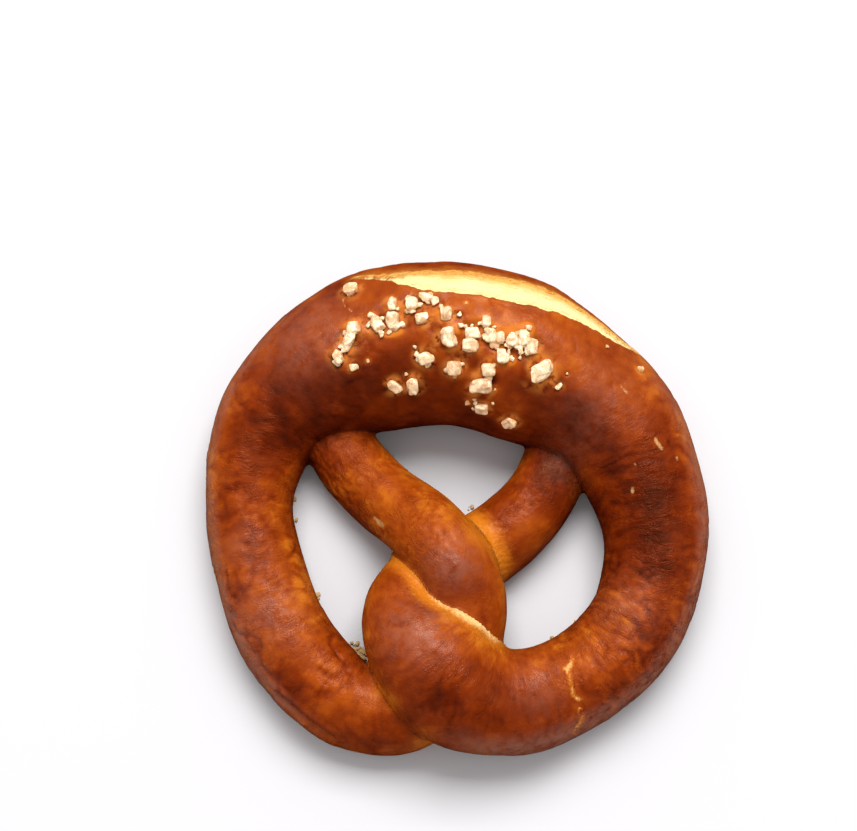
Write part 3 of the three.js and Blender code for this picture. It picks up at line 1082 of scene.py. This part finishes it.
def lightened(look, colour, edge, crack):
    """The crust's colour, paler round the salt, in creases, at marks and along the crack."""
    halo = look.stored("halo") * look.grain(1.8).band(0.32, 0.52)
    colour = look.mixed(halo, colour, CARAMEL)
    # Each is a value, where its tint begins and is whole, how strong the tint is, and the tint
    tints = [
        (look.stored("crease") + edge * 0.5, 0.2, 0.9, 0.9, GOLD),
        (look.stored("pale_crease") + edge * 0.6, 0.25, 0.8, 1.0, CREAM),
        (look.stored("light") + edge * 0.6, -0.1, 0.35, 0.42, CREAM),
        (crack, -0.7, 0.0, 0.5, GOLD),
        (crack, -0.1, 0.4, 0.5, CREAM),
    ]
    for value, begins, whole, strength, tint in tints:
        colour = look.mixed(value.band(begins, whole) * strength, colour, tint)
    return colour


def crumb_colour(look, back, strands):
    """The colour of the crumb in the slit: darker at its back, with fibres and torn specks."""
    lean = back + strands * 6.0
    colour = look.mixed(lean.band(-0.5, 4.0), CRUMB, CRUMB_SHADE)
    fibres = look.stretched(3, 0.5).band(0.52, 0.66)
    colour = look.mixed(fibres * 0.45, colour, CRUMB_SHADE)
    specks = back.band(-0.5, 2.0) * look.grain(0.8).band(0.66, 0.72)
    return look.mixed(specks, colour, TORN)


def burst(look, colour, edge):
    """The crust's colour with the slit, ragged at its back. Also says where the slit is open."""
    slit = look.stored("slit") + edge * 0.9
    back = look.stored("slit_back")
    strands = look.stretched(5, 0.7) - 0.5
    behind = back.band(0.0, 1.0)
    ragged = slit + strands * 4.0 + (look.grain(2.5, 4) - 0.5) * 3.0
    colour = look.mixed(behind * ragged.band(-4.5, -0.5) * 0.9, colour, TORN)
    colour = look.mixed(behind * ragged.band(-1.6, 0.2), colour, CRUMB_SHADE)
    colour = look.mixed((1.0 - behind) * slit.band(-0.9, -0.1), colour, TORN)
    is_open = ((ragged - slit) * behind + slit).band(-0.15, 0.5)
    return look.mixed(is_open, colour, crumb_colour(look, back, strands)), is_open


def crust_skin(look, is_open):
    """The crust's finest relief: grain, patches of wrinkles and puckers, and the crumb's pores."""
    skin = look.bumped(look.grain(0.9, 4), 0.11)
    patches = look.grain(7).band(0.42, 0.6) * 0.75 + 0.25
    for name, folds, deep in (
        ("across", look.stretched(1.6, 4), 0.22),
        ("lengthwise", look.stretched(4, 1.6), 0.22),
        ("pucker", look.grain(2.2, 4), 0.15),
    ):
        skin = look.bumped(folds.creased() * (patches * look.stored(name)), deep, skin)
    return look.bumped(look.grain(0.7, 3) * is_open, 0.35, skin)


def crust_material():
    """Glossy brown crust: mottled, golden in its creases, pale where it has burst."""
    look = Look("crust")
    edge = look.grain(0.7) - 0.5
    gaps = look.grain(3, 3).band(0.50, 0.64) * -1.2
    crack = look.stored("crack") + edge * 1.4 + gaps
    colour = lightened(look, baked_colour(look), edge, crack)
    colour, is_open = burst(look, colour, edge)
    sole = look.stored("sole")
    bare = is_open.at_least(crack.band(-0.2, 0.3)).at_least(sole)
    shine = look.grain(5, 4).band(0.42, 0.60) * GLOSS_RISE + GLOSS_LOW
    rough = look.grain(4, 3).band(0.4, 0.6) * CRUST_SMOOTHER + CRUST_ROUGH
    skin = crust_skin(look, is_open)
    return look.shaded({
        "Base Color": look.mixed(sole, colour, SOLE),
        "Roughness": rough.at_least(bare * BARE_ROUGH),
        "Coat Weight": (1.0 - bare) * (shine * look.stored("gloss")),
        "Coat Roughness": 0.22,
        "Specular IOR Level": 0.22,
        "Specular Tint": (1.0, 0.37, 0.16, 1),
        "Normal": skin,
        "Coat Normal": skin,
    })


# Both are tinted warm peach, partly painted bounce light from the crust and partly the crust's colour seen
# through the salt
CLEAR_SALT = (0.78, 0.59, 0.40, 1)
CLOUDY_SALT = (0.55, 0.34, 0.18, 1)
FLAW = (0.44, 0.26, 0.13, 1)
SALT_FOOT = (0.46, 0.19, 0.06, 1)

# How far apart a grain's flaws are, how high its foot reaches, and how deep light goes in
FLAW_GAP = 1.3
FOOT_HEIGHT = 0.95
LIGHT_REACH = 1.3


def salt_material():
    """Cloudy crystals, where the crust's colour comes through at their foot and along their flaws."""
    look = Look("salt")
    cells = {"Vector": look.place, "Scale": 1 / (FLAW_GAP * MM)}
    flaws = look.node("TexVoronoi", cells, "Distance", feature="DISTANCE_TO_EDGE")
    colour = look.mixed(look.grain(2.2, 5).band(0.42, 0.60), CLEAR_SALT, CLOUDY_SALT)
    colour = look.mixed(flaws.band(0.06, 0.0) * 0.45, colour, FLAW)
    return look.shaded({
        "Base Color": look.mixed(look.stored("rise").band(FOOT_HEIGHT, 0.0), colour, SALT_FOOT),
        "Roughness": 0.3,
        "Subsurface Weight": 1.0,
        "Subsurface Radius": (1.0, 0.75, 0.55),
        "Subsurface Scale": LIGHT_REACH * MM,
        "Normal": look.bumped(look.grain(0.5, 3), 0.08),
    })


TAN = (0.52, 0.34, 0.15, 1)
DARK_TAN = (0.35, 0.20, 0.075, 1)


def crumb_material():
    """Matte tan crumbs."""
    look = Look("crumbs")
    return look.shaded({
        "Base Color": look.mixed(look.grain(1.0, 3), TAN, DARK_TAN),
        "Roughness": 0.75,
        "Normal": look.bumped(look.grain(0.35, 3), 0.08),
    })


def dress(piece, material):
    """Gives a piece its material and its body."""
    piece.data.materials.append(material)
    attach(piece, "root")


# The camera: how steeply it looks down, how far off it is, and the point that it looks at
CAMERA_ELEVATION = math.radians(75)
CAMERA_DISTANCE = 0.563
CAMERA_AIM = Vector((-0.0068, 0.0269, 0))
CAMERA_LENS = 90

FLOOR_SIZE = 6
FLOOR_COLOUR = (0.48, 0.475, 0.49, 1)
FLOOR_ROUGH = 0.6

SKY_COLOUR = (1.0, 0.99, 0.98, 1)
SKY_STRENGTH = 0.95

LAMP_PLACE = Vector((0.12, 0.95, 1.75))
LAMP_WIDTH = 1.5
LAMP_DEPTH = 1.0
LAMP_POWER = 60


def make_camera():
    """The camera that sees the pretzel as the photograph does."""
    data = bpy.data.cameras.new("camera")
    data.lens = CAMERA_LENS
    camera = new_object("camera", data)
    back = Vector((0, -math.cos(CAMERA_ELEVATION), math.sin(CAMERA_ELEVATION)))
    camera.location = CAMERA_AIM + back * CAMERA_DISTANCE
    camera.rotation_euler = (math.pi / 2 - CAMERA_ELEVATION, 0, 0)
    bpy.context.scene.camera = camera


def make_lamp():
    """A large soft lamp behind the pretzel and above it."""
    data = bpy.data.lights.new("lamp", "AREA")
    data.shape = "RECTANGLE"
    data.size = LAMP_WIDTH
    data.size_y = LAMP_DEPTH
    data.energy = LAMP_POWER
    lamp = new_object("lamp", data)
    lamp.location = LAMP_PLACE
    lamp.rotation_euler = (-LAMP_PLACE).to_track_quat("-Z", "Y").to_euler()


def make_sky():
    """A pale sky that the crust doesn't mirror."""
    world = bpy.data.worlds.new("sky")
    world.use_nodes = True
    sky = world.node_tree.nodes["Background"]
    sky.inputs["Color"].default_value = SKY_COLOUR
    sky.inputs["Strength"].default_value = SKY_STRENGTH
    world.cycles_visibility.glossy = False
    bpy.context.scene.world = world


def make_floor():
    """A plain pale floor that the crust doesn't mirror."""
    half = FLOOR_SIZE / 2
    mesh = bpy.data.meshes.new("floor")
    corners = [(-half, -half, 0), (half, -half, 0), (half, half, 0), (-half, half, 0)]
    mesh.from_pydata(corners, [], [(0, 1, 2, 3)])
    mesh.materials.append(Look("floor").shaded({"Base Color": FLOOR_COLOUR, "Roughness": FLOOR_ROUGH}))
    floor = new_object("floor", mesh)
    floor.visible_glossy = False


crust, places, crust_tree = crust_piece()
salt = salt_piece(places, crust_tree)
crumbs = crumbs_piece()
dress(crust, crust_material())
dress(salt, salt_material())
dress(crumbs, crumb_material())
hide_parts("pretzel")
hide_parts("pretzel")
make_camera()
make_lamp()
make_sky()
make_floor()
bpy.context.scene.view_settings.view_transform = "Standard"
